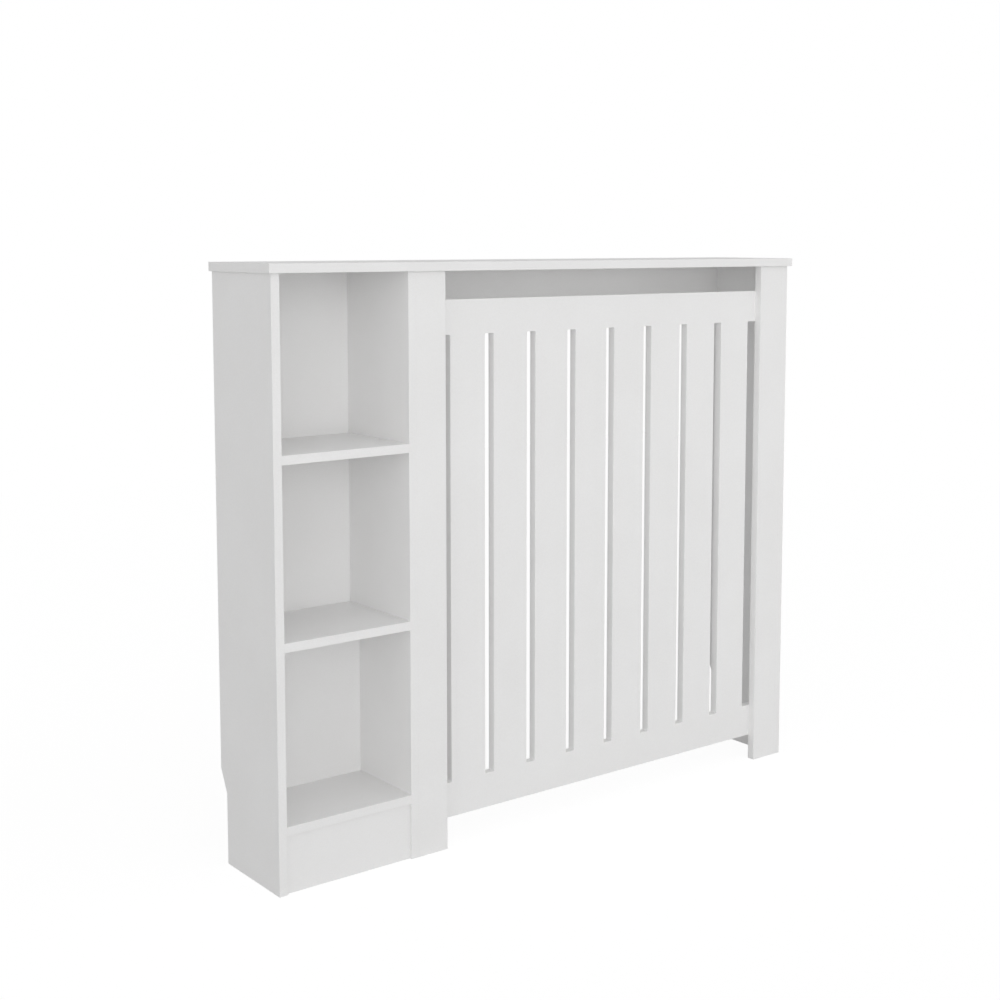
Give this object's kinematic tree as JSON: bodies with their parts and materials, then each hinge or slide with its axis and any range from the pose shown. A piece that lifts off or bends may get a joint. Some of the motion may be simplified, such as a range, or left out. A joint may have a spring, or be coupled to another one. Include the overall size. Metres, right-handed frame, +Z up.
{
  "type": "radiator cover cabinet",
  "caption": "White radiator cover cabinet with an open shelf tower on the left, a slatted front and one top board.",
  "frame": {"origin": "centre of the footprint, on the floor", "axes": "+X to the right as seen from the front, +Y to the wall behind, +Z up"},
  "size_m": [1.16, 0.2, 1],
  "materials": {
    "white_board": "white satin lacquer on fibreboard",
    "white_hardboard": "thin hardboard, white on the front",
    "die_cast_zinc": "dull die-cast zinc",
    "zinc_plated_steel": "bright zinc plating",
    "beech": "plain beech"
  },
  "bodies": {
    "root": {"top_board": "white_board", "left_side_panel": "white_board", "divider_panel": "white_board", "right_side_panel": "white_board", "left_post": "white_board", "right_post": "white_board", "slatted_front": "white_board", "rear_top_rail": "white_board", "upper_shelf": "white_board", "lower_shelf": "white_board", "bottom_shelf": "white_board", "plinth": "white_board", "lower_back_board": "white_board", "upper_back_panel": "white_hardboard", "cam_housings": "die_cast_zinc", "cam_bolts": "zinc_plated_steel", "front_screws": "zinc_plated_steel", "left_wall_bracket": "zinc_plated_steel", "right_wall_bracket": "zinc_plated_steel", "bracket_screws": "zinc_plated_steel", "wooden_dowels": "beech"}
  },
  "joints": []
}
